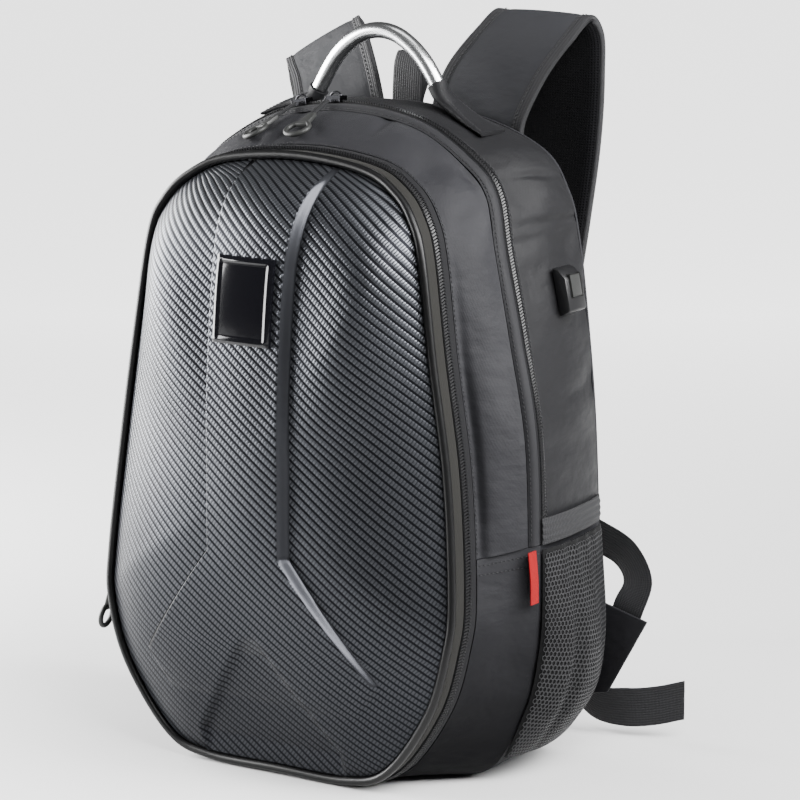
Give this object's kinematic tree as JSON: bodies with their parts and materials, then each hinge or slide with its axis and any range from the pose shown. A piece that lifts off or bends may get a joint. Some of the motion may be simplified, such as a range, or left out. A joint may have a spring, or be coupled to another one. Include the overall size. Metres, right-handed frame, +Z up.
{
  "type": "hard shell backpack",
  "caption": "Backpack with a moulded front shell, zipped soft body, mesh side pockets, metal top handle and padded shoulder straps",
  "frame": {"origin": "middle of the flat base", "axes": "+Z up, the shell faces -Y, +X to the viewer's right"},
  "size_m": [0.424, 0.2838, 0.5456],
  "materials": {
    "shell": "embossed carbon-look twill, satin",
    "piping": "satin",
    "rim_cloth": "woven",
    "zip": "zip coil on tape",
    "nylon": "nylon twill, soft sheen",
    "mesh_cloth": "open spacer mesh",
    "webbing": "ribbed webbing",
    "red_cloth": "woven",
    "metal": "satin polished",
    "gloss": "high gloss",
    "plastic": "satin",
    "grip": "matte"
  },
  "bodies": {
    "root": {"hard_shell": "shell", "badge": "gloss", "shell_piping": "piping", "front_zip_rim": "rim_cloth", "front_zip_coil": "zip", "front_gusset": "nylon", "main_zip_flap": "nylon", "main_zip_coil": "zip", "rear_body": "nylon", "lower_wrap": "nylon", "back_panel": "nylon", "hang_loop": "webbing", "handle_tube": "metal", "usb_hood": "plastic", "red_tab": "red_cloth", "side_pocket_right": "mesh_cloth", "pocket_band_right": "webbing", "back_pad_right": "mesh_cloth", "adjuster_right": "plastic", "webbing_right": "webbing", "web_tail_right": "webbing", "web_tab_right": "nylon", "shoulder_strap_right": "nylon", "handle_sleeve_right": "nylon", "side_pocket_left": "mesh_cloth", "pocket_band_left": "webbing", "back_pad_left": "mesh_cloth", "adjuster_left": "plastic", "webbing_left": "webbing", "web_tail_left": "webbing", "web_tab_left": "nylon", "shoulder_strap_left": "nylon", "handle_sleeve_left": "nylon", "main_zip_a_slider": "plastic", "main_zip_a_pull": "grip", "main_zip_b_slider": "plastic", "main_zip_b_pull": "grip", "front_zip_a_slider": "plastic", "front_zip_a_pull": "grip", "front_zip_b_slider": "plastic", "front_zip_b_pull": "grip"}
  },
  "joints": []
}
